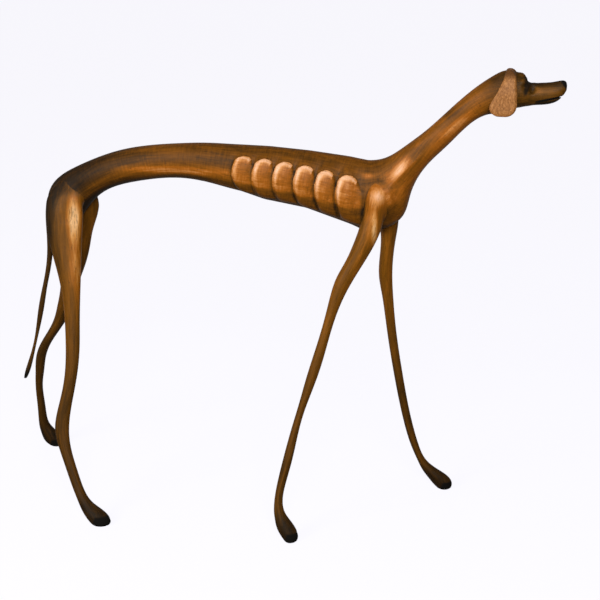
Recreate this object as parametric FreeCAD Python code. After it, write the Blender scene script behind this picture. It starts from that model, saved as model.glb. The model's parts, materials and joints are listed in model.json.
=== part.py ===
"""Carved hardwood statue of a long-legged hound, standing in a slow walk with its head stretched forward.

The statue is joined from blanks whose grain runs along each member: the torso, the neck with the head,
two ear flaps, four legs and the tail.  Every joint is glued.  The neck meets the torso on a flat scarf
with two dowels, each leg is scribed to the torso's side and pinned by two dowels that run right across,
each ear is scribed to the skull over one small peg, and the tail has a turned tenon in the rump.

Frame: +X towards the nose, +Y to the hound's left, +Z up, origin on the floor under the box's centre.
All sizes are in millimetres.  Each piece is written to parts/NODE.step.
"""

import FreeCAD, Part

import math
import os

from FreeCAD import Matrix, Vector

# ---- driving dimensions -------------------------------------------------------------------------
EAR_CREST_Z = 600.0  # overall height, at the crest of the ears
NOSE_X = 364.0  # tip of the nose
HIND_STANCE = 103.0  # middle of a hind paw from the statue's middle plane
FORE_STANCE = 91.0  # middle of a fore paw from the middle plane
HIND_HIP = (430.0, 16.0)  # height where a hind leg enters the torso, and its distance out there
FORE_HIP = (450.0, 19.0)  # the same for a fore leg

LEG_DOWEL_R = 4.0
NECK_DOWEL_R = 4.5
NECK_DOWEL_LENGTH = 50.0
NECK_DOWEL_OUT = 8.0  # the two neck dowels lie side by side, this far from the middle plane
NECK_DOWEL_RISE = 48.0  # degrees above level, following the neck
EAR_PEG_R = 1.6
EAR_PEG_LENGTH = 13.0
TAIL_TENON_R = 3.5
TAIL_TENON_LENGTH = 24.0

SCARF_TOP = (150.0, 492.0)  # the neck scarf, as a line in the middle plane: x and z at the withers
SCARF_BOTTOM = (184.0, 412.0)  # and at the breast

# ---- trunk, neck and head -----------------------------------------------------------------------
# One section of the trunk is a rounded oval across the middle plane.  It is given by its upper point
# and its lower point in that plane (x, z, x, z), and its half width.
HINDQUARTERS = [
    # rump, which turns down between the thighs
    (-275, 388, -257, 385, 5),
    (-283, 401, -248, 385, 13),
    (-277, 432, -234, 399, 19),
    (-243, 457.5, -217, 418.5, 21.5),
    # loin and waist
    (-199, 476.5, -192, 434, 21),
    (-155, 488, -151, 445, 20),
    (-100, 494.5, -99, 450.5, 20),
    (-62, 496.5, -62, 446, 21),
]
RIB_CAGE = [
    (-62, 496.5, -62, 446, 21),
    (0, 496, -5, 429, 23),
    (50, 493, 48, 421, 24.5),
    (95, 488.5, 96, 406, 26),
    (125, 485, 131, 395, 26),
]
FOREQUARTERS = [
    # shoulder and breast
    (134, 484.5, 144, 396, 25.5),
    (152, 487, 178, 415, 23),
    (166, 494, 188, 445, 19.5),
    # neck
    (182, 506, 203, 477, 17),
    (206, 526, 229, 506, 15),
    (236, 555.5, 256, 534.5, 14),
    (262, 579, 279, 547, 15),
    # skull
    (281, 592.5, 296, 549.5, 16),
    (297, 598.5, 307, 555, 16.5),
    (306, 597, 312, 556, 16.2),
    (314, 594, 317, 557.3, 15),
    (319.5, 589.5, 321.5, 558, 13),
    # muzzle
    (324.5, 586, 326, 559, 11.5),
    (334, 585.3, 336, 560, 10.6),
    (348, 586.8, 349, 562.5, 9.5),
    (357, 588.8, 356.5, 567, 8.2),
    (NOSE_X - 2.2, 588, NOSE_X - 2.5, 573.5, 5.8),
    (NOSE_X, 583.5, NOSE_X - 0.2, 578, 2.2),
]
OVAL_STEPS = 32  # points round a section of the trunk

# The six ribs carved on each flank, counted from the waist.  Across the flank a rib steps up sharply
# at its rear edge and then sinks towards the next: (share of the pitch, share of the height).
RIB_COUNT = 6
RIB_START = -31.0  # x of the first rib's rear edge at the middle of the flank
RIB_PITCH = 26.0
RIB_PROUD = 4.2  # how far the last rib stands out from the flank
RIB_FIRST_SHARE = 0.7  # height of the first rib, as a share of the last
RIB_PROFILE = [(0.0, 0.0), (0.08, 0.6), (0.24, 0.94), (0.46, 1.0), (0.7, 0.7), (0.9, 0.2)]
RIB_TOP = 58.0  # degrees above the middle of the flank where a rib has faded out
RIB_DOME = 16.0  # how much lower the crown of a rib ends at its edges than at its middle
RIB_FOOT = -62.0  # degrees where it has faded out below
RIB_CURL = 12.0  # how much further forward the ends of a rib lie than its middle
RIB_CURL_LOST = 0.5  # share of the curl that is gone by the end of the last rib
RIB_LEAD_IN = (-0.55, -0.12)  # plain sections just behind the first rib, as shares of the pitch

# ---- legs ---------------------------------------------------------------------------------------
# One section of a leg is level: height, x of its back edge, x of its front edge, half width.
RIGHT_FORE = [
    (466, 144, 151, 2.5),
    (457, 139.5, 157.5, 7.5),
    (446, 137, 160, 11.3),
    (427, 134, 160.5, 12.5),
    (405, 129, 156.5, 12.5),
    (386, 123, 149, 11.5),
    (366, 115, 138.5, 10),
    (340, 102.5, 124, 8.8),
    (318, 96.5, 113.5, 7.5),
    (264, 84, 97, 6.3),
    (201, 67, 79.5, 5.8),
    (116, 46, 58, 5.5),
    (72, 37, 48, 5.5),
    (42, 34, 46.5, 6.2),
    (28, 35.5, 54, 8.2),
    (14, 39.5, 64.5, 10.5),
    (4, 46, 67, 10),
    (0, 49, 65.5, 8.5),
]
LEFT_FORE = [
    (466, 144, 151, 2.5),
    (457, 139.5, 157.5, 7.5),
    (446, 138.5, 161.5, 11.3),
    (427, 140, 168, 12),
    (405, 145, 171, 12),
    (380, 148.5, 168, 10.5),
    (325, 146, 163.5, 8.5),
    (300, 149.5, 164.5, 7.5),
    (250, 156, 168.5, 6.3),
    (180, 166, 178, 5.7),
    (105, 180, 191.5, 5.5),
    (65, 191, 202, 5.6),
    (41, 200.5, 213.5, 6.5),
    (28, 206.5, 229, 8.5),
    (14, 216, 246.5, 10.5),
    (4, 224, 248.5, 10),
    (0, 228, 247, 8.5),
]
RIGHT_HIND = [
    (441, -262, -238, 3.5),
    (430, -272, -230, 8),
    (414, -278.5, -228.5, 11.5),
    (390, -278, -229, 13),
    (362, -273.5, -230, 12.5),
    (330, -263.5, -230.5, 11),
    (300, -256, -231, 9.5),
    (250, -250.5, -231, 8.2),
    (205, -250, -232.5, 7.2),
    (164, -256, -239, 6.6),
    (122, -263.5, -244, 6.8),
    (104, -260, -242.5, 6.5),
    (60, -243.5, -229, 6.2),
    (34, -232.5, -217, 7),
    (22, -227, -204, 8.5),
    (10, -219.5, -187, 11),
    (4, -214.5, -184, 10.5),
    (0, -210, -186, 9),
]
LEFT_HIND = [
    (441, -262, -238, 3.5),
    (430, -272, -229, 8),
    (410, -278.5, -223, 11.5),
    (375, -281.5, -233, 13),
    (340, -287, -245, 11.5),
    (302, -292.5, -260, 9.8),
    (265, -299.5, -277, 8.8),
    (238, -308.5, -288, 8.2),
    (205, -324.5, -308.5, 7.3),
    (157, -352.5, -338, 6.6),
    (138, -357, -343.5, 6.4),
    (99, -363, -352.5, 6),
    (62, -366, -354, 6),
    (40, -368, -353.5, 7.3),
    (26, -368, -346, 9),
    (11, -365.5, -336, 11),
    (4, -362, -332, 10.5),
    (0, -357, -334, 9),
]
ROUND = math.sqrt(0.5)  # corner value of a true ellipse
LEG_CORNER = 0.68  # flatter than an ellipse between its four soft ridges
TOE_GROOVE_WIDTH = 2.2
TOE_GROOVE_DEPTH = 8.0
TOE_SPREAD = 3.4  # distance of each toe groove from the paw's middle line
TOE_FAN = 10.0  # degrees by which a toe groove turns inward

# ---- tail and ears, which also have level sections ----------------------------------------------
TAIL = [
    (416, -283.5, -268, 5.5),
    (400, -288.5, -277, 5.5),
    (376, -290, -281, 4.6),
    (339, -291.5, -284, 3.8),
    (290, -302, -295.5, 3.4),
    (235, -315, -309, 3.1),
    (187, -328.5, -323, 2.9),
    (160, -338.5, -332.5, 3.0),
    (153.5, -340, -336, 1.9),
]
TAIL_ROOT = (-284.0, 404.0)  # where the tail's tenon enters the rump
TAIL_TENON_RISE = 25.0  # degrees above level

# height, back edge, front edge, half thickness, distance of the flap's middle from the middle plane
EAR = [
    (EAR_CREST_Z, 296.5, 300.5, 1.2, 6.0),
    (EAR_CREST_Z - 1.5, 294.5, 303, 3.0, 7.0),
    (EAR_CREST_Z - 6, 293, 306, 4.2, 10.8),
    (EAR_CREST_Z - 14, 290.5, 307.5, 3.6, 15.4),
    (EAR_CREST_Z - 25, 285.5, 308.5, 2.8, 18.6),
    (EAR_CREST_Z - 37, 279, 309, 2.4, 19.8),
    (EAR_CREST_Z - 44, 278, 308, 2.4, 20.3),
    (EAR_CREST_Z - 49.5, 282, 304, 2.0, 20.8),
    (EAR_CREST_Z - 52, 288, 298, 1.0, 21.0),
]
EAR_CORNER = 0.78  # a flap has fuller corners than an ellipse
EAR_PEG_AT = (300.0, 584.0)

# ---- face ---------------------------------------------------------------------------------------
BROW = dict(at=(313.0, 7.4, 585.0), radii=(7.6, 6.4, 6.4))
EYE_SOCKET = dict(at=(325.5, 11.0, 581.5), radii=(4.4, 6.4, 8.0))
NOSE_PAD = dict(at=(NOSE_X - 4.5, 0.0, 585.2), radii=(4.0, 5.2, 3.6))
NOSTRIL_R = 1.1
NOSTRIL_AT = (NOSE_X - 1.2, 2.8, 584.5)
MOUTH_CORNER = (331.0, 564.0)  # x and z of the mouth's rear end
MOUTH_FRONT = (NOSE_X + 3.0, 572.5)
MOUTH_HEIGHT = (0.5, 2.4)  # opening at the corner and at the lips
MOUTH_CORE = 5.5  # half width of wood left between the two sides' grooves
MOUTH_CORE_END = NOSE_X - 9.0


# ---- building blocks ----------------------------------------------------------------------------
def closed_wire(points):
    """Smooth closed wire through the points, with evenly spread parameters."""
    even = [share / len(points) for share in range(len(points) + 1)]
    curve = Part.BSplineCurve()
    curve.interpolate(Points=points, Parameters=even, PeriodicFlag=True)
    return Part.Wire([curve.toShape()])


def oval(centre, across, along, corner):
    """Closed smooth wire through eight points: two half axes, and corners at `corner` of both."""
    spots = [(1, 0), (corner, corner), (0, 1), (-corner, corner)]
    spots += [(-a, -b) for a, b in spots]
    return closed_wire([centre + across * a + along * b for a, b in spots])


def fade(share):
    """Smooth step from 0 to 1 while `share` goes from 0 to 1."""
    share = min(max(share, 0.0), 1.0)
    return share * share * (3 - 2 * share)


def trunk_section(row, relief=0.0, share=0.0, curl=0.0):
    """One section of the trunk, where both flanks stand out by `share` of the rib's `relief`."""
    top, low = Vector(row[0], 0, row[1]), Vector(row[2], 0, row[3])
    centre, half = (top + low) / 2, (top - low) / 2
    crown = RIB_TOP - RIB_DOME * (1 - share)
    points = []
    for step in range(OVAL_STEPS):
        turn = 2 * math.pi * step / OVAL_STEPS
        height = math.degrees(math.asin(math.sin(turn)))
        shown = fade((crown - height) / 18) * fade((height - RIB_FOOT) / 30)
        width = (row[4] + relief * share * shown) * math.cos(turn)
        forward = curl * math.sin(turn) ** 2
        points.append(centre + half * math.sin(turn) + Vector(forward, width, 0))
    return closed_wire(points)


def cage_row(x):
    """The rib cage's section at x of its upper point, on straight lines between the given ones."""
    for behind, ahead in zip(RIB_CAGE, RIB_CAGE[1:]):
        if x <= ahead[0]:
            break
    share = (x - behind[0]) / (ahead[0] - behind[0])
    return [a + (b - a) * share for a, b in zip(behind, ahead)]


def trunk_loft():
    """Torso, neck and head as one smooth solid."""
    wires = [trunk_section(row) for row in HINDQUARTERS]
    for along in RIB_LEAD_IN:
        row = cage_row(RIB_START + along * RIB_PITCH)
        wires.append(trunk_section(row, curl=RIB_CURL * (1 + along)))
    for rib in range(RIB_COUNT):
        proud = RIB_PROUD * (RIB_FIRST_SHARE + (1 - RIB_FIRST_SHARE) * rib / (RIB_COUNT - 1))
        for along, height in RIB_PROFILE:
            row = cage_row(RIB_START + (rib + along) * RIB_PITCH)
            curl = RIB_CURL * (1 - RIB_CURL_LOST * fade(rib + along - RIB_COUNT + 1))
            wires.append(trunk_section(row, proud, height, curl))
    wires += [trunk_section(row) for row in FOREQUARTERS]
    return Part.makeLoft(wires, True)


def level_loft(sections, corner):
    """Smooth solid through level sections (height, back x, front x, half width, middle y)."""
    wires = []
    for z, back, front, half_width, y in sections:
        centre = Vector((back + front) / 2, y, z)
        wires.append(oval(centre, Vector((front - back) / 2, 0, 0), Vector(0, half_width, 0), corner))
    return Part.makeLoft(wires, True)


def ellipsoid(at, radii, twist=0.0):
    """Ellipsoid with its half axes along X, Y and Z, then turned by `twist` degrees about +Z."""
    scale = Matrix()
    scale.scale(*radii)
    solid = Part.makeSphere(1.0).transformGeometry(scale)
    solid.rotate(Vector(0, 0, 0), Vector(0, 0, 1), twist)
    solid.translate(Vector(*at))
    return solid


def on_side(at, side):
    """The point `at`, whose y is a distance out, on the left (+1) or the right (-1)."""
    return (at[0], at[1] * side, at[2])


def rod(start, end, radius):
    """Round rod from point to point."""
    axis = end - start
    return Part.makeCylinder(radius, axis.Length, start, axis)


# ---- the pieces ---------------------------------------------------------------------------------
def scarf_side():
    """A block that holds everything in front of the neck scarf."""
    top, low = Vector(SCARF_TOP[0], 0, SCARF_TOP[1]), Vector(SCARF_BOTTOM[0], 0, SCARF_BOTTOM[1])
    along = (top - low).normalize()
    start, end = low - along * 60, top + along * 60
    reach = 320.0
    outline = [start, end, end + Vector(reach, 0, reach), start + Vector(reach, 0, 0), start]
    face = Part.Face(Part.makePolygon(outline))
    block = face.extrude(Vector(0, 120, 0))
    block.translate(Vector(0, -60, 0))
    return block


def neck_dowels():
    """Two dowels side by side across the scarf, in line with the neck."""
    top, low = Vector(SCARF_TOP[0], 0, SCARF_TOP[1]), Vector(SCARF_BOTTOM[0], 0, SCARF_BOTTOM[1])
    rise = math.radians(NECK_DOWEL_RISE)
    half = Vector(math.cos(rise), 0, math.sin(rise)) * (NECK_DOWEL_LENGTH / 2)
    dowels = []
    for side in (1, -1):
        middle = (top + low) / 2 + Vector(0, side * NECK_DOWEL_OUT, 0)
        dowels.append(rod(middle - half, middle + half, NECK_DOWEL_R))
    return dowels


def carve_face(head):
    """Brows, eye sockets, nose and mouth."""
    for side in (1, -1):
        head = head.fuse(ellipsoid(on_side(BROW["at"], side), BROW["radii"]))
        head = head.cut(ellipsoid(on_side(EYE_SOCKET["at"], side), EYE_SOCKET["radii"]))
    head = head.fuse(ellipsoid(NOSE_PAD["at"], NOSE_PAD["radii"]))
    for side in (1, -1):
        head = head.cut(Part.makeSphere(NOSTRIL_R, Vector(*on_side(NOSTRIL_AT, side))))
    return head.cut(mouth_groove())


def mouth_groove():
    """A thin wedge round the muzzle, less the core of wood that joins jaw and muzzle."""
    corner = Vector(MOUTH_CORNER[0], 0, MOUTH_CORNER[1])
    front = Vector(MOUTH_FRONT[0], 0, MOUTH_FRONT[1])
    small, large = (Vector(0, 0, height / 2) for height in MOUTH_HEIGHT)
    outline = [corner - small, front - large, front + large, corner + small, corner - small]
    wedge = Part.Face(Part.makePolygon(outline))
    groove = wedge.extrude(Vector(0, 60, 0))
    groove.translate(Vector(0, -30, 0))
    length = MOUTH_CORE_END - MOUTH_CORNER[0]
    core = Part.makeBox(length, 2 * MOUTH_CORE, 40, Vector(MOUTH_CORNER[0], -MOUTH_CORE, 550))
    return groove.cut(core)


def leg(sections, hip, stance, side):
    """One leg, splayed outward from the hip to its paw, with its toes cut in."""
    hip_z, hip_y = hip
    spread = (stance - hip_y) / hip_z
    placed = [(z, b, f, w, side * (hip_y + spread * (hip_z - z))) for z, b, f, w in sections]
    solid = level_loft(placed, LEG_CORNER)
    tip = max(front for z, back, front, width in sections if z < 30)
    for across in (1, -1):
        solid = solid.cut(toe_groove(tip, side * stance + across * TOE_SPREAD, across))
    return solid


def toe_groove(tip_x, y, across):
    """A V groove down the front of a paw, between two toes."""
    half = TOE_GROOVE_WIDTH / 2
    apex = Vector(tip_x - TOE_GROOVE_DEPTH, y, -1)
    mouth_x = tip_x + TOE_GROOVE_DEPTH
    outline = [apex, Vector(mouth_x, y + 2 * half, -1), Vector(mouth_x, y - 2 * half, -1), apex]
    prism = Part.Face(Part.makePolygon(outline)).extrude(Vector(0, 0, 40))
    prism.rotate(apex, Vector(0, 0, 1), across * TOE_FAN)
    return prism


def leg_dowels(heights_and_x, reach):
    """Dowels right across the torso, each ending blind in the two legs."""
    return [rod(Vector(x, -reach, z), Vector(x, reach, z), LEG_DOWEL_R) for x, z in heights_and_x]


def ear(side):
    """One hanging ear flap."""
    return level_loft([(z, b, f, t, side * y) for z, b, f, t, y in EAR], EAR_CORNER)


def ear_peg(side):
    """The small peg behind an ear, level and square to the skull's side."""
    x, z = EAR_PEG_AT
    return rod(Vector(x, side * 17.0, z), Vector(x, side * (17.0 - EAR_PEG_LENGTH), z), EAR_PEG_R)


def tail_tenon():
    """The turned end of the tail, running up into the rump."""
    rise = math.radians(TAIL_TENON_RISE)
    start = Vector(TAIL_ROOT[0] - 1.5, 0, TAIL_ROOT[1])
    return rod(start, start + Vector(math.cos(rise), 0, math.sin(rise)) * TAIL_TENON_LENGTH, TAIL_TENON_R)


def build():
    """All pieces, by node name, in the modelling frame."""
    trunk = trunk_loft()
    front = scarf_side()
    torso = trunk.cut(front)
    head = carve_face(trunk.common(front))

    shoulder_dowels = leg_dowels([(148, 440), (146, 420)], 27.0)
    hip_dowels = leg_dowels([(-244, 421), (-258, 405)], 24.5)
    ear_pegs = [ear_peg(1), ear_peg(-1)]
    scarf_dowels = neck_dowels()
    tenon = tail_tenon()

    legs = {
        "left_fore_leg": leg(LEFT_FORE, FORE_HIP, FORE_STANCE, 1),
        "right_fore_leg": leg(RIGHT_FORE, FORE_HIP, FORE_STANCE, -1),
        "left_hind_leg": leg(LEFT_HIND, HIND_HIP, HIND_STANCE, 1),
        "right_hind_leg": leg(RIGHT_HIND, HIND_HIP, HIND_STANCE, -1),
    }
    pieces = {}
    for name, solid in legs.items():
        dowels = shoulder_dowels if "fore" in name else hip_dowels
        pieces[name] = solid.cut([torso, head, *dowels])
    pieces["left_ear"] = ear(1).cut([head, ear_pegs[0]])
    pieces["right_ear"] = ear(-1).cut([head, ear_pegs[1]])
    pieces["tail"] = level_loft([(*section, 0.0) for section in TAIL], ROUND).cut(torso).fuse(tenon)
    pieces["torso"] = torso.cut([*shoulder_dowels, *hip_dowels, *scarf_dowels, tenon])
    pieces["neck_and_head"] = head.cut([*scarf_dowels, *ear_pegs])
    pieces["shoulder_dowels"] = Part.makeCompound(shoulder_dowels)
    pieces["hip_dowels"] = Part.makeCompound(hip_dowels)
    pieces["neck_dowels"] = Part.makeCompound(scarf_dowels)
    pieces["ear_pegs"] = Part.makeCompound(ear_pegs)
    return pieces


def main():
    """Centres the statue over the origin and writes one STEP file per piece."""
    pieces = build()
    box = FreeCAD.BoundBox()
    for shape in pieces.values():
        box.add(shape.optimalBoundingBox())
    shift = Vector(-box.Center.x, -box.Center.y, -box.ZMin)
    os.makedirs("parts", exist_ok=True)
    for name, shape in pieces.items():
        shape.translate(shift)
        solids = shape.Solids
        print(f"{name}: {len(solids)} solid(s), {sum(s.Volume for s in solids) / 1000:.1f} cm3, valid {shape.isValid()}")
        shape.exportStep(f"parts/{name}.step")
    print(f"box {box.XLength:.1f} x {box.YLength:.1f} x {box.ZLength:.1f}, shifted by {shift}")


main()
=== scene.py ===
import json
import math

import bpy
import numpy as np
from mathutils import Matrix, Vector
from mathutils.bvhtree import BVHTree

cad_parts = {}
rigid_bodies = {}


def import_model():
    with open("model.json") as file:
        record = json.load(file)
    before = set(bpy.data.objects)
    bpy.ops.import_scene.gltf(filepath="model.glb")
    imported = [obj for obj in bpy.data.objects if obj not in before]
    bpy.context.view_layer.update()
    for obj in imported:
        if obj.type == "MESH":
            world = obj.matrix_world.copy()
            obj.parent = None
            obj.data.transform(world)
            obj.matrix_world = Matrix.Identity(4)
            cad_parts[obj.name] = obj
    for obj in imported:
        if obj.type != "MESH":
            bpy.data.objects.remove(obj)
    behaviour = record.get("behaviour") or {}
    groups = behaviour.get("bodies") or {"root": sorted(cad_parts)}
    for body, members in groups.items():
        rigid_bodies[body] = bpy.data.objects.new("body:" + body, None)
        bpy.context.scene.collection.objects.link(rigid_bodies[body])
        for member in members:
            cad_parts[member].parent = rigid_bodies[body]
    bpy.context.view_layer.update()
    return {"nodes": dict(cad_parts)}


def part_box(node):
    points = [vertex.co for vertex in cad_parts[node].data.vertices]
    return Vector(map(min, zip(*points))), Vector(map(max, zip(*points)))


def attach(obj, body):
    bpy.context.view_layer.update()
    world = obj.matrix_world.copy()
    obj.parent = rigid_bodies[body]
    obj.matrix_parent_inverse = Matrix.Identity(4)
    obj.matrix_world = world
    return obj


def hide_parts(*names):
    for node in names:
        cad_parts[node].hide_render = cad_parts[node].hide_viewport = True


# A long-legged hound carved in an open-grained hardwood, oiled and rubbed to a satin.  The blanks come
# from the fixed frame, are joined and re-carved as one skin so that the limbs flow out of the trunk, and
# are parted again along the same joints.  Everything is in metres: +X to the nose, +Y to its left, +Z up.

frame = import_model()

MM = 0.001

# ---- grain and grit, in millimetres ----------------------------------------------------------------
TRUNK_GRIT = 0.8  # spacing of the re-carved skin on the trunk and legs
HEAD_GRIT = 0.62  # finer on the head, for its nose, lips and eye hollows
EAR_GRIT = 0.6
THINNED = {"torso": 0.58, "neck_and_head": 0.88}  # share of the skin's faces that the largest pieces keep

LIMBS = ("right_fore_leg", "left_fore_leg", "right_hind_leg", "left_hind_leg", "tail")
SCARF_FOOT = (186.15, 412.0)  # where the neck's glue line meets the breast: x and z
SCARF_HEAD = (152.15, 492.0)  # and the withers


# ---- bench work: small helpers -----------------------------------------------------------------------
def pick(*pieces):
    bpy.ops.object.select_all(action="DESELECT")
    for piece in pieces:
        piece.select_set(True)
    bpy.context.view_layer.objects.active = pieces[0]


def blank(name, nodes):
    """One workpiece from copies of these frame nodes, with their doubled corners merged."""
    pick(*[frame["nodes"][node] for node in nodes])
    bpy.ops.object.duplicate()
    copies = list(bpy.context.selected_objects)
    pick(*copies)
    if len(copies) > 1:
        bpy.ops.object.join()
    work = bpy.context.view_layer.objects.active
    work.name = name
    bpy.ops.object.parent_clear(type="CLEAR_KEEP_TRANSFORM")
    bpy.ops.object.mode_set(mode="EDIT")
    bpy.ops.mesh.select_all(action="SELECT")
    bpy.ops.mesh.remove_doubles(threshold=0.02 * MM)
    bpy.ops.object.mode_set(mode="OBJECT")
    work.data.materials.clear()
    for label in list(work.keys()):  # the frame's own label stays with the frame
        del work[label]
    return work


def apply_modifier(piece, kind, **settings):
    pick(piece)
    modifier = piece.modifiers.new(kind.lower(), kind)
    for key, value in settings.items():
        setattr(modifier, key, value)
    bpy.ops.object.modifier_apply(modifier=modifier.name)


def recarve(piece, grit, rubs=6):
    """An even skin over the workpiece, rubbed smooth."""
    apply_modifier(piece, "REMESH", mode="VOXEL", voxel_size=grit * MM, adaptivity=0.0)
    apply_modifier(piece, "SMOOTH", factor=0.5, iterations=rubs)


def saw(piece, at, way):
    """Cuts the piece on a plane and keeps the side that way points to, with the cut face closed."""
    pick(piece)
    bpy.ops.object.mode_set(mode="EDIT")
    bpy.ops.mesh.select_all(action="SELECT")
    bpy.ops.mesh.bisect(plane_co=at, plane_no=way, use_fill=True, clear_inner=True, clear_outer=False)
    bpy.ops.object.mode_set(mode="OBJECT")


def corners(piece):
    """The piece's vertices as an array, in millimetres."""
    found = np.empty(len(piece.data.vertices) * 3)
    piece.data.vertices.foreach_get("co", found)
    return found.reshape(-1, 3) / MM


def set_corners(piece, places):
    piece.data.vertices.foreach_set("co", (places * MM).ravel())
    piece.data.update()


def facings(piece):
    """The direction that the skin faces at each vertex."""
    found = np.empty(len(piece.data.vertices) * 3)
    piece.data.vertex_normals.foreach_get("vector", found)
    return found.reshape(-1, 3)


def mark(piece, name, values):
    """Stores one number, or one vector, on every vertex of the piece."""
    kind = "FLOAT" if values.ndim == 1 else "FLOAT_VECTOR"
    field = "value" if values.ndim == 1 else "vector"
    layer = piece.data.attributes.new(name, kind, "POINT")
    layer.data.foreach_set(field, np.ascontiguousarray(values, dtype=np.float32).ravel())


def ramp(values, start, end):
    """0 before start, 1 after end, and an even S between."""
    share = np.clip((values - start) / (end - start), 0.0, 1.0)
    return share * share * (3 - 2 * share)


# ---- gouge work on the joined skin -------------------------------------------------------------------
def curvature(piece, passes=2):
    """How sharply the surface turns at each vertex, per mm: above 0 on an arris, below 0 in a crease."""
    places, normals = corners(piece), facings(piece)
    ends = np.empty(len(piece.data.edges) * 2, dtype=np.int64)
    piece.data.edges.foreach_get("vertices", ends)
    first, second = ends.reshape(-1, 2).T
    step = places[second] - places[first]
    bend = np.sum((normals[second] - normals[first]) * step, 1) / np.maximum(np.sum(step * step, 1), 1e-6)
    count = np.bincount(first, minlength=len(places)) + np.bincount(second, minlength=len(places))
    count = np.maximum(count, 1)
    turn = (np.bincount(first, bend, len(places)) + np.bincount(second, bend, len(places))) / count
    for _ in range(passes):
        near = np.bincount(first, turn[second], len(places)) + np.bincount(second, turn[first], len(places))
        turn = (turn + near / count) / 2
    return turn


def blob(places, centre, radii):
    """1 at centre, fading evenly to 0 on the ellipsoid of those radii."""
    reach = np.sqrt(np.sum(((places - np.array(centre)) / np.array(radii)) ** 2, 1))
    return 1 - ramp(reach, 0.0, 1.0)


def off_line(places, start, end):
    """Distance of each point from a straight line, and its share of the way along, seen from the side."""
    start, end = np.array(start, float), np.array(end, float)
    way = end - start
    share = np.clip(((places - start) @ way) / (way @ way), 0, 1)
    return np.linalg.norm(places - start - share[:, None] * way, axis=1), share


def both_sides(places):
    """The same points folded onto the hound's left, so that one cut serves both flanks."""
    return places * np.array([1.0, 0.0, 1.0]) + np.abs(places) * np.array([0.0, 1.0, 0.0])


def rub(piece, weights, rounds):
    """Rubs the skin smooth where weights says."""
    group = piece.vertex_groups.new(name="rub")
    chosen = np.nonzero(weights > 0.02)[0]
    for level in np.linspace(0.1, 1.0, 10):
        band = chosen[(weights[chosen] > level - 0.1) & (weights[chosen] <= level)]
        if len(band):
            group.add(band.tolist(), float(level), "REPLACE")
    apply_modifier(piece, "SMOOTH", factor=0.5, iterations=rounds, vertex_group="rub")
    piece.vertex_groups.remove(piece.vertex_groups["rub"])


RIB_EDGES = (-28.8, -2.8, 23.2, 49.2, 75.2, 101.2, 133.0)
RIB_CORE = ((-62.0, 471.0), (0.0, 463.0), (50.0, 457.0), (95.0, 447.0), (131.0, 440.0))
RIB_RISE = 3.3  # height added at a rib's crown
RIB_CREASE = 0.4  # depth of the V cut behind it
RIB_ROUND = 3.6  # how far in from its edges a rib takes to reach that height
RIB_SINK = 0.62  # share of the height that it has lost where it runs under the next
RIB_ARCH = 20.0  # how much lower, in degrees, the crown of a rib is at its edges than at its middle
RIB_CROWN, RIB_ROOT = 51.0, -64.0  # degrees above and below the middle of the flank where a rib ends
FLANK = 25.0  # radius of the flank, which turns those degrees into a length


def rib_cuts(places):
    """Where the points lie on the ribs: height to add, crease behind each rib, rounded rim and way out."""
    middle = np.interp(places[:, 0], [c[0] for c in RIB_CORE], [c[1] for c in RIB_CORE])
    angle = np.degrees(np.arctan2(places[:, 2] - middle, np.abs(places[:, 1])))
    bow = np.where(angle > 0, 9.0, 6.0) * (1 - 0.4 * ramp(places[:, 0], 75.0, 129.0))
    along = places[:, 0] - bow * (np.abs(angle) / 60.0) ** 2
    rise, crease, rim = np.zeros((3, len(places)))
    for rear, front in zip(RIB_EDGES[:-1], RIB_EDGES[1:]):
        rear_gap = along - rear
        share = rear_gap / (front - rear)
        crown = RIB_CROWN - RIB_ARCH * np.abs(2 * np.clip(share, 0, 1) - 0.9) ** 2.8
        end_gap = np.minimum(crown - angle, angle - RIB_ROOT) * math.pi / 180 * FLANK
        reach = 1 / np.hypot(1 / np.maximum(rear_gap, 0.01), 0.7 / np.maximum(end_gap, 0.01))
        dome = (1 - np.exp(-(reach / RIB_ROUND) ** 1.5)) * (1 - RIB_SINK * np.clip(share, 0, 1) ** 1.3)
        dome *= (1 - ramp(share, 1.0, 1.25)) * (rear_gap > 0) * (end_gap > 0)
        rise = np.maximum(rise, dome)
        ends = ramp(end_gap, -2.0, 3.0)
        crease = np.maximum(crease, np.exp(-((rear_gap + 0.9) / 1.6) ** 2) * ends)
        edge = (1 - ramp(reach, 4.0, 9.0)) * (reach > 0.6) * (share < 0.75) * (end_gap > 0)
        rim = np.maximum(rim, edge * ramp(angle, -30.0, 25.0))
    shown = ramp(places[:, 0], -60.0, 30.0) ** 0.3 * (places[:, 0] < 150)
    out = np.stack([np.zeros(len(places)), np.sign(places[:, 1]) * np.cos(np.radians(angle)),
                    np.sin(np.radians(angle))], 1)
    return rise * shown, crease * shown, rim * shown, out


def carve_ribs(piece):
    """Cuts the ribs deeper: each rises in a rounded step at its rear edge and runs down under the next."""
    places = corners(piece)
    rise, crease, _, out = rib_cuts(places)
    set_corners(piece, places + out * (RIB_RISE * rise - RIB_CREASE * crease)[:, None])


THIGH_TURN = 16.0  # degrees that the flat on the thigh looks forward
THIGH_FLAT = (310.0, 345.0, 392.0, 420.0)  # heights between which the flat fades in and out
THIGH_DEPTH = 0.82  # how far out the flat lies, as a share of the thigh's half thickness
THIGH_BITE = 0.9  # how much of what stands past the flat is planed away


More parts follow.
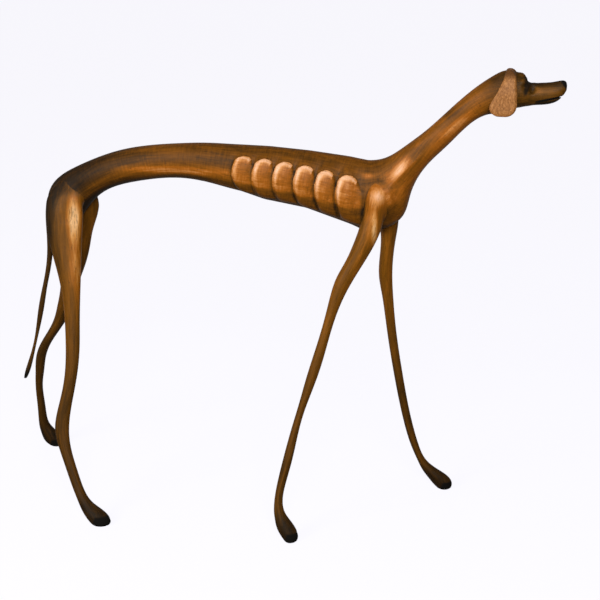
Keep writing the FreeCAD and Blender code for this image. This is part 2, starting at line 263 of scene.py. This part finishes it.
def flatten_thighs(piece):
    """Planes a long flat on the outside of each thigh, forward of its middle."""
    places = corners(piece)
    turn = math.radians(THIGH_TURN)
    for name, sense in (("right_hind_leg", -1), ("left_hind_leg", 1)):
        leg = LEG_CORES[name]
        heights = [c[2] for c in leg]
        core = [np.interp(places[:, 2], heights, [c[k] for c in leg]) for k in (0, 1)]
        wide = np.interp(places[:, 2], heights, [c[3] for c in leg])
        thick = np.interp(places[:, 2], heights, [c[4] for c in leg])
        reach = (places[:, 0] - core[0]) * math.sin(turn) + (places[:, 1] - core[1]) * sense * math.cos(turn)
        bound = THIGH_DEPTH * np.hypot(wide * math.sin(turn), thick * math.cos(turn))
        z = places[:, 2]
        keep = ramp(z, THIGH_FLAT[0], THIGH_FLAT[1]) * (1 - ramp(z, THIGH_FLAT[2], THIGH_FLAT[3]))
        keep = keep * (places[:, 0] < -200) * (places[:, 1] * sense > 0)
        cut = np.maximum(reach - bound, 0) * keep * THIGH_BITE
        places[:, 0] -= cut * math.sin(turn)
        places[:, 1] -= cut * math.cos(turn) * sense
    set_corners(piece, places)


# A hind thigh's core, level by level: x, y and z of its middle, half its width and half its thickness.
LEG_CORES = {
    "right_hind_leg": (
        (-247, -44.0, 300, 15, 9.0), (-243, -36.5, 330, 18.2, 11.0), (-248.4, -29.5, 362, 23, 12.5),
        (-250.7, -24.0, 390, 25.2, 13.0), (-251, -19.0, 414, 25.5, 11.5), (-249, -16.0, 430, 21, 8.0)),
    "left_hind_leg": (
        (-258, 44.0, 300, 15, 9.0), (-250, 36.5, 330, 18.2, 11.0), (-248.4, 29.5, 362, 21, 12.5),
        (-245.7, 24.0, 390, 22.2, 13.0), (-245, 19.0, 414, 22.5, 11.5), (-245, 16.0, 430, 21, 8.0)),
}

# A swell is a centre, radii and a height, in mm, on both sides; below 0 it is a hollow.
SHOULDER_BALL = ((155.0, 28, 447), (27, 24, 27), 4.6)
HIP_SWELL = ((-241, 30, 428), (22, 18, 18), 1.8)
FACE_SWELLS = (
    ((320.5, 12, 583), (7.5, 9, 9.5), -2.0),  # the eye hollow
    ((321.5, 12, 581), (5.0, 9, 3.0), 0.8),  # the closed lid in it
    ((324.0, 0, 588.5), (6.5, 13, 7), -3.4),  # the stop, between brow and muzzle
    ((315.5, 0, 595), (7, 13, 6), 1.2),  # the brow
)
# A ridge is the two ends of its line, its half width and its height, in mm.
NECK_RIDGE = ((160, 25, 452), (204, 13.5, 500), 4.2, 2.5)
BREAST_RIDGE = ((168, 25, 452), (170, 24, 424), 5.5, 2.0)


def swell(folded, centre, radii, height):
    return height * blob(folded, centre, radii)


def carve_shoulders(piece):
    """Fills out the shoulder balls and the hips, and raises the ridge that climbs the neck."""
    places, out = corners(piece), facings(piece)
    folded = both_sides(places)
    rise = swell(folded, *SHOULDER_BALL) + swell(folded, *HIP_SWELL)
    low, high, width, height = NECK_RIDGE
    gap, share = off_line(folded, low, high)
    swept = np.sin(np.pi * np.clip(share * 0.92 + 0.08, 0, 1))  # the ridge fades out up the neck
    rise += height * np.exp(-(gap / width) ** 1.4) * swept
    high, low, width, height = BREAST_RIDGE
    gap, _ = off_line(folded, high, low)
    rise += height * np.exp(-(gap / width) ** 2)
    set_corners(piece, places + out * rise[:, None])


def carve_head(piece):
    """Sinks an eye hollow with a closed lid under each brow, and cuts the brow steeply down to the muzzle."""
    places, out = corners(piece), facings(piece)
    folded = both_sides(places)
    rise = sum(swell(folded, *cut) for cut in FACE_SWELLS)
    set_corners(piece, places + out * rise[:, None])


# ---- the skin, carved as one and parted along the joints ---------------------------------------------
def part_limbs(skin):
    """Gives every face of the skin to the frame node that it lies on, and closes the parted pieces."""
    names = ("torso",) + LIMBS
    graph = bpy.context.evaluated_depsgraph_get()
    centres = np.empty(len(skin.data.polygons) * 3)
    skin.data.polygons.foreach_get("center", centres)
    centres = centres.reshape(-1, 3)
    owner = np.zeros(len(centres), dtype=int)
    nearest = np.full(len(centres), np.inf)
    for index, name in enumerate(names):
        low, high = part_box(name)
        near = np.all((centres > np.array(low) - 4 * MM) & (centres < np.array(high) + 4 * MM), axis=1)
        tree = BVHTree.FromObject(frame["nodes"][name], graph)
        for face in np.nonzero(near)[0]:
            gap = tree.find_nearest(Vector(centres[face]))[3]
            if gap is not None and gap < nearest[face]:
                nearest[face] = gap
                owner[face] = index
    parts = {}
    for index, name in enumerate(names[1:], 1):
        pick(skin)
        chosen = owner == index
        bpy.ops.object.mode_set(mode="EDIT")
        bpy.ops.mesh.select_mode(type="FACE")
        bpy.ops.mesh.select_all(action="DESELECT")
        bpy.ops.object.mode_set(mode="OBJECT")
        skin.data.polygons.foreach_set("select", chosen)
        bpy.ops.object.mode_set(mode="EDIT")
        bpy.ops.mesh.separate(type="SELECTED")
        bpy.ops.object.mode_set(mode="OBJECT")
        part = [o for o in bpy.context.selected_objects if o is not skin][0]
        part.name = name + "_carving"
        parts[name] = part
        owner = owner[~chosen]
    skin.name = "torso_carving"
    parts["torso"] = skin
    for part in parts.values():
        pick(part)
        bpy.ops.object.mode_set(mode="EDIT")
        bpy.ops.mesh.select_mode(type="EDGE")
        bpy.ops.mesh.select_all(action="SELECT")
        bpy.ops.mesh.fill_holes(sides=0)
        bpy.ops.object.mode_set(mode="OBJECT")
    return parts


def scarf():
    """A point on the neck's glue face, and the way that the face looks: forward and up."""
    foot = Vector((SCARF_FOOT[0], 0, SCARF_FOOT[1])) * MM
    head = Vector((SCARF_HEAD[0], 0, SCARF_HEAD[1])) * MM
    along = (head - foot).normalized()
    return foot, Vector((along.z, 0, -along.x))


ALL_BUT_EARS = [n for n in frame["nodes"] if n not in ("left_ear", "right_ear", "ear_pegs")]
foot, forward = scarf()


# Where the joined skin is rubbed until its blanks flow together: centre, radii in mm, and rounds.
SOFTENED = (
    ((-240, 20, 428), (38, 26, 32), 260),  # the hips
    ((168, 24, 440), (22, 22, 40), 260),  # the breast, in front of the shoulder
    ((154, 24, 464), (20, 18, 14), 200),  # the top of the shoulder
    ((327.7, 11, 581.5), (10, 12, 12), 90),  # the cheek, under the brow
)
FULL_RUB = 2.2  # the larger, the more of a patch gets all of its rounds


def body_skin(name, nodes, grit):
    """The joined body, rubbed smooth at the hips and shoulders and then carved."""
    work = blank(name, nodes)
    recarve(work, grit)
    folded = both_sides(corners(work))
    for centre, radii, rounds in SOFTENED:
        rub(work, np.clip(blob(folded, centre, radii) * FULL_RUB, 0, 1), rounds)
    carve_head(work)
    carve_ribs(work)
    flatten_thighs(work)
    carve_shoulders(work)
    apply_modifier(work, "SMOOTH", factor=0.5, iterations=1)
    return work


skin = body_skin("skin", ALL_BUT_EARS, TRUNK_GRIT)
mark(skin, "arris", curvature(skin))
saw(skin, foot, -forward)
pieces = part_limbs(skin)

HEAD_BLANKS = ["torso", "neck_and_head", "neck_dowels", "ear_pegs", "left_fore_leg", "right_fore_leg",
               "shoulder_dowels"]
head = body_skin("neck_and_head_carving", HEAD_BLANKS, HEAD_GRIT)
mark(head, "arris", curvature(head))
saw(head, foot, forward)
pieces["neck_and_head"] = head

for side in ("left_ear", "right_ear"):
    ear = blank(side + "_carving", [side])
    recarve(ear, EAR_GRIT, 4)
    mark(ear, "arris", curvature(ear))
    pieces[side] = ear


# The fine skin is thinned on the two largest pieces, most where it is flattest.
for name, share in THINNED.items():
    apply_modifier(pieces[name], "DECIMATE", ratio=share)


# ---- grain: how far each point lies along its member, and off its core -------------------------------
CORE_STEP = 12.0  # spacing of the points that a member's core is followed through, in mm


def grain_of(places, axis, sense):
    """For each point: how far along the member it lies, and how far below and beside its core, in mm."""
    along = places[:, axis]
    edges = np.linspace(along.min(), along.max(), max(4, int(np.ptp(along) / CORE_STEP)) + 1)
    middles, cores = [], []
    for low, high in zip(edges[:-1], edges[1:]):
        inside = (along >= low) & (along <= high)
        if inside.sum() > 8:
            middles.append((low + high) / 2)
            cores.append((places[inside].min(axis=0) + places[inside].max(axis=0)) / 2)
    middles, cores = np.array(middles), np.array(cores)
    cores[:, axis] = middles
    for _ in range(2):
        cores[1:-1] = (cores[:-2] + 2 * cores[1:-1] + cores[2:]) / 4
    run = np.concatenate([[0], np.cumsum(np.linalg.norm(np.diff(cores, axis=0), axis=1))])
    tangents = np.gradient(cores, axis=0)
    tangents /= np.linalg.norm(tangents, axis=1)[:, None]
    core = np.stack([np.interp(along, middles, cores[:, k]) for k in range(3)], 1)
    core[:, axis] = along
    tangent = np.stack([np.interp(along, middles, tangents[:, k]) for k in range(3)], 1)
    tangent /= np.linalg.norm(tangent, axis=1)[:, None]
    lower, upper = along < middles[0], along > middles[-1]
    off = places - core
    side = np.cross(np.tile([0.0, 1.0, 0.0], (len(tangent), 1)), tangent)
    side /= np.linalg.norm(side, axis=1)[:, None]
    across = np.cross(tangent, side)
    s = np.interp(along, middles, run) + np.sum(off * tangent, 1)
    s[lower] += along[lower] - middles[0]
    s[upper] += along[upper] - middles[-1]
    return np.stack([s * sense, np.sum(off * side, 1), np.sum(off * across, 1)], 1)


# ---- stain, handling and painted light: where the maker burnt the wood black, where hands have rubbed it, and painted highlights and shade ---
# A patch is a centre, radii and a strength, in mm, on both sides of the hound.
# Paler patches: wear on the thigh, loin and breast, and painted highlights on the shoulder, upper arm, cheek
# and muzzle.
WEAR_AND_PAINTED_HIGHLIGHTS = [
    ((-235, 34, 400), (14, 22, 50), 1.55),  # the flat of the thigh
    ((-233, 42, 345), (12, 22, 60), 0.55),  # and below it
    ((156, 34, 449), (17, 18, 19), 0.85),  # the shoulder ball, a painted highlight
    ((-120, 20, 464), (90, 14, 8), 0.4),  # the loin
    ((140, 24, 471), (13, 10, 7), 1.15),  # behind the shoulder's top, a painted highlight
    ((152, 34, 405), (5, 18, 40), 0.8),  # the front of the upper arm, a painted highlight
    ((335, 11, 577), (9, 8, 8), 0.4),  # the cheek, a painted highlight
    ((350, 10, 577), (18, 8, 6), 0.22),  # the side of the muzzle, a painted highlight
    ((180, 18, 440), (26, 26, 40), 0.22),  # the breast
    ((150, 36, 410), (13, 14, 44), 0.35),  # the upper arm, a painted highlight
]
# Darker patches: patina on the rump and the back of the thigh, and painted shade on the neck's crest, in the
# groove behind the upper arm, over the shoulder's top and under the chest.
PATINA_AND_PAINTED_SHADE = [
    ((-272, 10, 436), (50, 44, 38), 0.9),  # the rump
    ((-275, 24, 385), (20, 34, 66), 0.8),  # the back of the thigh
    ((210, 0, 548), (70, 30, 12), 0.5),  # the crest of the neck, painted shade
    ((136, 26, 428), (5, 14, 34), 0.8),  # the groove behind the upper arm, painted shade
    ((156, 18, 465), (9, 12, 4), 0.5),  # over the shoulder's top, painted shade in the crease
    ((40, 0, 395), (170, 26, 28), 0.2),  # the keel of the chest, painted shade under it
]
TOE_X = {"right_fore_leg": 65, "left_fore_leg": 247, "right_hind_leg": -192, "left_hind_leg": -338}
DARKEST, PALEST = -1.05, 1.1


def black_stain(name, places):
    """1 where the wood is burnt black: toes, tail tip, nose, eye hollows and lips."""
    x, _, z = places.T
    if name in TOE_X:
        toes = ramp(x - TOE_X[name] - 0.25 * z, -14.0, -10.0) * (1 - ramp(z, 11.0, 14.0))
        sole = 1 - ramp(z, 1.0, 3.0)
        return np.maximum(toes, sole)
    if name == "tail":
        return 1 - ramp(z, 160.0, 176.0)
    if name == "neck_and_head":
        nose = ramp((x - 361.5) * 0.8 + (z - 585) * 0.6, -1.2, 0.6)
        off_middle = np.abs(x - 319.5 - (z - 572) * 0.22)
        wide = 1.3 + np.clip(z - 572, 0, 20) * 0.22
        hollow = 0.85 * (1 - ramp(off_middle, wide - 1.6, wide + 1.8)) * ramp(z, 568.0, 576.0)
        lips = (1 - ramp(np.abs(z - (564.5 + (x - 333) * 0.24)), 0.8, 2.0)) * ramp(x, 332.0, 336.0)
        return np.maximum(np.maximum(nose, hollow), lips)
    return np.zeros(len(places))


def trunk_tone(places, lift):
    """Bands of the trunk and neck, many of them painted highlight and shade.  lift is the height over the
    core of the trunk, in mm.
    """
    folded = both_sides(places)
    x, _, z = places.T
    rise, crease, rim, _ = rib_cuts(places)
    ribbed = np.minimum(rise * 1.3, 1)
    # Rib rims drawn pale, partly as worn high places and partly as a painted highlight, and painted shade in
    # the creases behind them; the ribs a little paler overall.
    tone = 1.0 * rim + 0.26 * ribbed - 0.3 * crease
    tone -= 0.7 * (1 - ramp(x, -262.0, -120.0))  # darker towards the rump
    # Painted shade: the upper side of the trunk and neck, above its core, is drawn darker.
    back = 0.26 * (1 - ramp(x, 120.0, 200.0)) + 0.14
    tone -= back * ramp(lift, -4.0, 7.0) * (1 - ribbed)
    # Painted shade under the belly, and fainter under the whole trunk and neck below the core.
    painted_belly_shade = 0.45 * ramp(-lift, 9.0, 17.0) * (1 - ramp(x, 150.0, 200.0))
    tone -= painted_belly_shade + 0.12 * ramp(-lift, 8.0, 16.0)
    gap, share = off_line(folded, (166, 22, 466), (192, 16, 495))  # a painted highlight, from the shoulder up the neck
    tone += 1.3 * np.exp(-(gap / 6.0) ** 2) * np.sin(np.pi * np.clip(share * 0.9 + 0.1, 0, 1))
    gap, share = off_line(folded, (222, 14, 517), (262, 14, 552))  # and a second painted highlight higher up
    tone += 0.45 * np.exp(-(gap / 5.0) ** 2) * np.sin(np.pi * share) ** 0.7
    tone -= 1.6 * (1 - ramp(z - (565.5 + (x - 333) * 0.22), -1.0, 1.0)) * ramp(x, 330.0, 336.0)  # the jaw
    tone -= 0.5 * ramp(x, 262.0, 290.0)  # the skull
    tone -= 0.6 * ramp(z, 580.0, 586.0) * ramp(x, 322.0, 328.0)  # the bridge of the nose
    return tone


def leg_tone(name, places):
    """Bands of the legs: darker down the shank, at the paw, and behind and above the thigh."""
    x, _, z = places.T
    tone = -0.14 * (1 - ramp(z, 405.0, 450.0))
    tone -= 0.46 * (1 - ramp(z, 120.0, 330.0)) + 0.4 * (1 - ramp(z, 20.0, 45.0))
    if name in LEG_CORES:
        leg = LEG_CORES[name]
        middle = np.interp(z, [c[2] for c in leg], [c[0] for c in leg])
        tone -= 0.5 * (1 - ramp(x - middle, -12.0, 2.0)) * ramp(z, 300.0, 350.0)
        tone -= 0.35 * ramp(z, 418.0, 436.0)
    return tone


DARKER_ALL_OVER = {"left_hind_leg": 0.2, "tail": 0.8}  # members that are darker all over


def tone_of(name, places, flow):
    """How dark or pale the oiled wood is drawn: -1 in the old dark patina and painted shade, 1 where it is
    rubbed pale or a highlight is painted.
    """
    folded = both_sides(places)
    tone = np.full(len(places), -DARKER_ALL_OVER.get(name, 0.0))
    for centre, radii, strength in WEAR_AND_PAINTED_HIGHLIGHTS:
        tone += strength * blob(folded, centre, radii)
    for centre, radii, strength in PATINA_AND_PAINTED_SHADE:
        tone -= strength * blob(folded, centre, radii)
    if name in ("torso", "neck_and_head"):
        tone += trunk_tone(places, -flow[:, 1])
    if name.endswith("leg"):
        tone += leg_tone(name, places)
    return np.clip(tone, DARKEST, PALEST)


# How strongly the ripple across the grain shows, and how straw-coloured the legs' wood is.
RIPPLED = {"torso": 1.0, "neck_and_head": 0.5}
LIMB_RIPPLE = 0.15
LEG_STRAW = 0.75
NEW_LOG = np.array([0.0, 31.0, 17.0])  # each member is cut from another place in the log

# The trunk and neck share one run of grain along X; the limbs and ears run down Z.
trunk = [corners(pieces[name]) for name in ("torso", "neck_and_head")]
trunk_flow = np.split(grain_of(np.concatenate(trunk), 0, 1), [len(trunk[0])])
flows = dict(zip(("torso", "neck_and_head"), trunk_flow))
for count, (name, piece) in enumerate(pieces.items()):
    places = corners(piece)
    if name not in flows:
        flows[name] = grain_of(places, 2, -1) + NEW_LOG * (count + 1)
    mark(piece, "grain", flows[name] * MM)
    mark(piece, "stain", black_stain(name, places))
    mark(piece, "tone", tone_of(name, places, flows[name]))
    mark(piece, "figure", np.full(len(places), RIPPLED.get(name, LIMB_RIPPLE)))
    straw = ramp(places[:, 0], 280.0, 315.0)
    if name in LIMBS:
        straw = (1 - ramp(places[:, 2], 405.0, 450.0)) * LEG_STRAW
    mark(piece, "straw", straw)


# ---- finishes ----------------------------------------------------------------------------------------
def tint(code):
    """A colour picked as sRGB hex, as the linear values that a shader takes."""
    shares = [int(code[i:i + 2], 16) / 255 for i in (1, 3, 5)]
    return tuple(c / 12.92 if c <= 0.04045 else ((c + 0.055) / 1.055) ** 2.4 for c in shares) + (1.0,)


def add(tree, kind, settings=(), stops=(), **links):
    """Adds a node: settings are its own choices, stops a ramp's, links its inputs as values or outputs."""
    node = tree.nodes.new(kind)
    for key, value in dict(settings).items():
        setattr(node, key, value)
    for position, colour in stops[1:-1]:
        node.color_ramp.elements.new(position)
    for element, (position, colour) in zip(node.color_ramp.elements if stops else (), stops):
        element.position = position
        element.color = tint(colour)
    for key, value in links.items():
        socket = node.inputs[int(key[1:]) if key[1:].isdigit() else key.replace("_", " ")]
        if isinstance(value, bpy.types.NodeSocket):
            tree.links.new(value, socket)
        else:
            socket.default_value = value
    return node


def new_material(name):
    m = bpy.data.materials.new(name)
    m.use_nodes = True
    m.node_tree.nodes.clear()
    return m, m.node_tree


def lengths(*mm):
    """The scale of a pattern whose marks are this many millimetres long, wide and deep."""
    return tuple(1000.0 / length for length in mm)


def oiled_hardwood():
    """Iroko, carved with gouge and rasp, stained and oiled by hand.

    The eye gets a yellow-brown wood, nearly black where the patina is old and where shade is painted, and
    honey-pale on the rubbed high places and where highlights are painted, with long streaks along each limb,
    a ripple across the trunk, open pores and a soft satin.
    """
    m, t = new_material("iroko_carved_and_oiled")
    out = add(t, "ShaderNodeOutputMaterial")
    grain = add(t, "ShaderNodeAttribute", {"attribute_name": "grain"}).outputs["Vector"]
    stain = add(t, "ShaderNodeAttribute", {"attribute_name": "stain"}).outputs["Fac"]
    tone = add(t, "ShaderNodeAttribute", {"attribute_name": "tone"}).outputs["Fac"]
    arris = add(t, "ShaderNodeAttribute", {"attribute_name": "arris"}).outputs["Fac"]
    figure = add(t, "ShaderNodeAttribute", {"attribute_name": "figure"}).outputs["Fac"]
    straw = add(t, "ShaderNodeAttribute", {"attribute_name": "straw"}).outputs["Fac"]

    # Growth rings seen along the cut, 70 mm long and 12 mm wide, and the finer streaks inside them.
    place = add(t, "ShaderNodeMapping", Vector=grain, Scale=lengths(70, 12, 12)).outputs[0]
    broad = add(t, "ShaderNodeTexNoise", Vector=place, Scale=1.0, Detail=3.0, Roughness=0.55).outputs[0]
    place = add(t, "ShaderNodeMapping", Vector=grain, Scale=lengths(34, 2.4, 2.4)).outputs[0]
    streak = add(t, "ShaderNodeTexNoise", Vector=place, Scale=1.0, Detail=4.0, Roughness=0.55).outputs[0]
    # The ripple that interlocked grain shows across the trunk, its bands 1.7 mm wide.
    place = add(t, "ShaderNodeMapping", Vector=grain, Scale=lengths(1.7, 13, 13)).outputs[0]
    cross = add(t, "ShaderNodeTexNoise", Vector=place, Scale=1.0, Detail=3.0, Roughness=0.55).outputs[0]
    # Open pores.  Real ones are about 0.3 mm wide; these are drawn 1.1 mm wide so that they show.
    place = add(t, "ShaderNodeMapping", Vector=grain, Scale=lengths(9, 1.1, 1.1)).outputs[0]
    pores = add(t, "ShaderNodeTexNoise", Vector=place, Scale=1.0, Detail=2.0, Roughness=0.55).outputs[0]

    # How far up the range from patina and painted shade to bare wood and painted highlight each point lies.
    level = add(t, "ShaderNodeMath", {"operation": "MULTIPLY_ADD"}, _0=tone, _1=0.42, _2=0.15).outputs[0]
    level = add(t, "ShaderNodeMath", {"operation": "MULTIPLY_ADD"}, _0=broad, _1=0.36, _2=level).outputs[0]
    level = add(t, "ShaderNodeMath", {"operation": "MULTIPLY_ADD"}, _0=streak, _1=0.34, _2=level).outputs[0]
    ripple = add(t, "ShaderNodeMath", {"operation": "MULTIPLY_ADD"}, _0=cross, _1=0.24, _2=-0.12).outputs[0]
    level = add(t, "ShaderNodeMath", {"operation": "MULTIPLY_ADD"}, _0=ripple, _1=figure, _2=level).outputs[0]
    # Arrises are drawn paler, as worn wood, and creases darker, as painted shade.
    turn = add(t, "ShaderNodeClamp", _0=arris, _1=-0.35, _2=0.3).outputs[0]
    level = add(t, "ShaderNodeMath", {"operation": "MULTIPLY_ADD"}, _0=turn, _1=0.4, _2=level).outputs[0]
    colour = add(t, "ShaderNodeValToRGB", _0=level, stops=(
        (0.05, "#201202"), (0.25, "#482b04"), (0.45, "#754509"),
        (0.60, "#9a5814"), (0.78, "#c38348"), (1.0, "#e3b28e"))).outputs[0]
    yellowed = add(t, "ShaderNodeMix", {"data_type": "RGBA", "blend_type": "MULTIPLY"}, _0=straw, _6=colour,
                   _7=tint("#f0fadc")).outputs[2]

    # More of the pores show dark where the straw-coloured legs are rubbed pale or given a painted highlight.
    bared = add(t, "ShaderNodeMath", {"operation": "MULTIPLY"}, _0=tone, _1=straw).outputs[0]
    opened = add(t, "ShaderNodeMath", {"operation": "MULTIPLY_ADD"}, _0=bared, _1=-0.11, _2=pores).outputs[0]
    pore = add(t, "ShaderNodeMapRange", {"interpolation_type": "SMOOTHSTEP"}, _0=opened, _1=0.39, _2=0.30,
               _3=0.0, _4=0.5).outputs[0]
    pored = add(t, "ShaderNodeMix", {"data_type": "RGBA"}, _0=pore, _6=yellowed,
                _7=tint("#35200d")).outputs[2]
    burnt = add(t, "ShaderNodeMix", {"data_type": "RGBA"}, _0=stain, _6=pored, _7=tint("#0d0a07")).outputs[2]

    # Oil builds a satin where the tone is pale, on handled places and painted highlights alike, and the burnt
    # black stays matt.
    satin = add(t, "ShaderNodeMath", {"operation": "MULTIPLY_ADD"}, _0=tone, _1=-0.15, _2=0.41).outputs[0]
    satin = add(t, "ShaderNodeMath", {"operation": "MULTIPLY_ADD"}, _0=streak, _1=0.16, _2=satin).outputs[0]
    rough = add(t, "ShaderNodeMath", {"operation": "MULTIPLY_ADD"}, _0=stain, _1=0.3, _2=satin).outputs[0]
    rippled = add(t, "ShaderNodeMath", {"operation": "MULTIPLY"}, _0=cross, _1=figure).outputs[0]
    rippled = add(t, "ShaderNodeMath", {"operation": "MULTIPLY"}, _0=rippled, _1=0.6).outputs[0]
    height = add(t, "ShaderNodeMath", {"operation": "MULTIPLY_ADD"}, _0=pores, _1=0.7, _2=rippled).outputs[0]
    bump = add(t, "ShaderNodeBump", Strength=0.35, Distance=0.0006, Height=height).outputs[0]
    shader = add(t, "ShaderNodeBsdfPrincipled", Base_Color=burnt, Roughness=rough, IOR=1.45,
                 Specular_IOR_Level=0.19, Normal=bump).outputs[0]
    t.links.new(shader, out.inputs[0])
    return m


def pale_ear_wood():
    """The same iroko, cut across the grain and left unstained under a thin oil.

    The eye gets a pinkish tan, finely flecked and matt, and drawn darker towards its root at the top.
    """
    m, t = new_material("iroko_left_pale")
    out = add(t, "ShaderNodeOutputMaterial")
    grain = add(t, "ShaderNodeAttribute", {"attribute_name": "grain"}).outputs["Vector"]
    where = add(t, "ShaderNodeTexCoord").outputs["Object"]
    # Flecks of cut pores.  Real ones are about 0.3 mm wide; these are drawn 1.7 mm wide so that they show.
    place = add(t, "ShaderNodeMapping", Vector=grain, Scale=lengths(3.0, 1.7, 1.7)).outputs[0]
    fleck = add(t, "ShaderNodeTexNoise", Vector=place, Scale=1.0, Detail=4.0, Roughness=0.65).outputs[0]
    colour = add(t, "ShaderNodeValToRGB", _0=fleck, stops=(
        (0.30, "#6f461c"), (0.5, "#905d2d"), (0.70, "#b07a47"))).outputs[0]
    height = add(t, "ShaderNodeSeparateXYZ", _0=where).outputs[2]
    root = add(t, "ShaderNodeMapRange", {"interpolation_type": "SMOOTHSTEP"}, _0=height, _1=0.588, _2=0.597,
               _3=0.0, _4=0.85).outputs[0]
    darker_at_root = add(t, "ShaderNodeMix", {"data_type": "RGBA"}, _0=root, _6=colour,
                  _7=tint("#4e2f14")).outputs[2]
    bump = add(t, "ShaderNodeBump", Strength=0.35, Distance=0.0008, Height=fleck).outputs[0]
    shader = add(t, "ShaderNodeBsdfPrincipled", Base_Color=darker_at_root, Roughness=0.55, IOR=1.45,
                 Specular_IOR_Level=0.3, Normal=bump).outputs[0]
    t.links.new(shader, out.inputs[0])
    return m


def raw_dowel_wood():
    """Beech dowel, turned and left raw.

    The eye gets a pale even straw colour with short fine flecks along the rod, and no shine.
    """
    m, t = new_material("beech_dowel_raw")
    out = add(t, "ShaderNodeOutputMaterial")
    where = add(t, "ShaderNodeTexCoord").outputs["Object"]
    # Beech flecks are about 1.1 mm wide, and the dowels lie nearly across the hound.
    place = add(t, "ShaderNodeMapping", Vector=where, Scale=lengths(1.1, 16, 1.1)).outputs[0]
    fleck = add(t, "ShaderNodeTexNoise", Vector=place, Scale=1.0, Detail=2.0).outputs[0]
    colour = add(t, "ShaderNodeValToRGB", _0=fleck, stops=((0.35, "#c39a68"), (0.7, "#dcbb8c"))).outputs[0]
    shader = add(t, "ShaderNodeBsdfPrincipled", Base_Color=colour, Roughness=0.7, IOR=1.45).outputs[0]
    t.links.new(shader, out.inputs[0])
    return m


wood = oiled_hardwood()
ear_wood = pale_ear_wood()
dowel_wood = raw_dowel_wood()

EARS = ("left_ear", "right_ear")
ARRIS_ANGLE = 50.0  # edges that turn more than this stay sharp
for name, piece in pieces.items():
    piece.data.materials.append(ear_wood if name in EARS else wood)
    pick(piece)
    bpy.ops.object.shade_smooth_by_angle(angle=math.radians(ARRIS_ANGLE))
    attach(piece, "root")
    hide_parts(name)

for name in ("neck_dowels", "shoulder_dowels", "hip_dowels", "ear_pegs"):
    for holder in frame["nodes"][name].material_slots:
        holder.material = dowel_wood


# ---- the studio --------------------------------------------------------------------------------------
def paper_floor():
    """White background paper, uncoated and evenly lit.

    The eye gets a plain pale ground with a faint shadow under the paws.
    """
    m, t = new_material("paper_uncoated_white")
    out = add(t, "ShaderNodeOutputMaterial")
    matt = add(t, "ShaderNodeBsdfDiffuse", Color=tint("#4f4f4f"))
    glow = add(t, "ShaderNodeEmission", Color=tint("#f6f5fb"), Strength=1.0)
    both = add(t, "ShaderNodeAddShader", _0=matt.outputs[0], _1=glow.outputs[0])
    t.links.new(both.outputs[0], out.inputs[0])
    return m


bpy.ops.object.select_all(action="DESELECT")
bpy.ops.mesh.primitive_plane_add(size=60.0, location=(0, 0, 0))
floor = bpy.context.object
floor.name = "floor"
floor.data.materials.append(paper_floor())
floor.visible_diffuse = False
floor.visible_glossy = False

VIEW_AZIMUTH = 12.0
VIEW_ELEVATION = 20.0
VIEW_DISTANCE = 1.536
VIEW_AIM = Vector((0.05335, 0.0, 0.297))
VIEW_NUDGE = 0.00064  # moves the middle of the view this far left and up


def towards(azimuth, elevation):
    """The way from the hound to a viewer who stands azimuth degrees round from its right side."""
    a, e = math.radians(azimuth), math.radians(elevation)
    return Vector((math.sin(a) * math.cos(e), -math.cos(a) * math.cos(e), math.sin(e)))


def aim(thing, at):
    thing.rotation_euler = (at - thing.location).to_track_quat("-Z", "Y").to_euler()


back = towards(VIEW_AZIMUTH, VIEW_ELEVATION)
right = Vector((math.cos(math.radians(VIEW_AZIMUTH)), math.sin(math.radians(VIEW_AZIMUTH)), 0.0))
up = back.cross(right)
target = VIEW_AIM - right * VIEW_NUDGE + up * VIEW_NUDGE
camera_data = bpy.data.cameras.new("camera")
camera_data.lens = 72.0
camera_data.sensor_width = 36.0
camera_data.dof.use_dof = False
camera = bpy.data.objects.new("camera", camera_data)
bpy.context.collection.objects.link(camera)
camera.location = target + back * VIEW_DISTANCE
aim(camera, target)
bpy.context.scene.camera = camera


def softbox(name, azimuth, elevation, distance, size, watts, colour):
    lamp = bpy.data.lights.new(name, "AREA")
    lamp.shape = "SQUARE"
    lamp.size = size
    lamp.energy = watts
    lamp.color = colour
    box = bpy.data.objects.new(name, lamp)
    bpy.context.collection.objects.link(box)
    centre = Vector((0.0, 0.0, 0.35))
    box.location = centre + towards(azimuth, elevation) * distance
    box.visible_camera = False
    aim(box, centre)


# Azimuth and elevation in degrees, distance and size in metres, watts and colour.
softbox("key_softbox", 16.0, 27.0, 2.2, 0.9, 42.0, (1.0, 0.97, 0.90))
softbox("window_softbox", -42.0, 24.0, 2.2, 0.8, 30.0, (1.0, 0.98, 0.94))

world = bpy.data.worlds.new("studio")
bpy.context.scene.world = world
world.use_nodes = True
wt = world.node_tree
wt.nodes.clear()
wout = add(wt, "ShaderNodeOutputWorld")
seen = add(wt, "ShaderNodeLightPath")
# The room is dim in front and above, where the softboxes are, and brighter low down on the far side.
sky = add(wt, "ShaderNodeTexCoord").outputs["Generated"]
far = add(wt, "ShaderNodeVectorMath", {"operation": "DOT_PRODUCT"}, _0=sky,
          _1=(-0.2, 0.96, -0.2)).outputs["Value"]
glow = add(wt, "ShaderNodeMapRange", {"interpolation_type": "SMOOTHSTEP"}, _0=far, _1=0.35, _2=0.95, _3=0.1,
           _4=0.65).outputs[0]
room = add(wt, "ShaderNodeBackground", Color=(1.0, 0.96, 0.91, 1.0), Strength=glow)
white = add(wt, "ShaderNodeBackground", Color=tint("#fbfaff"), Strength=1.0)
mix = add(wt, "ShaderNodeMixShader", _0=seen.outputs["Is Camera Ray"], _1=room.outputs[0],
          _2=white.outputs[0])
wt.links.new(mix.outputs[0], wout.inputs[0])
bpy.context.scene.view_settings.view_transform = "Standard"
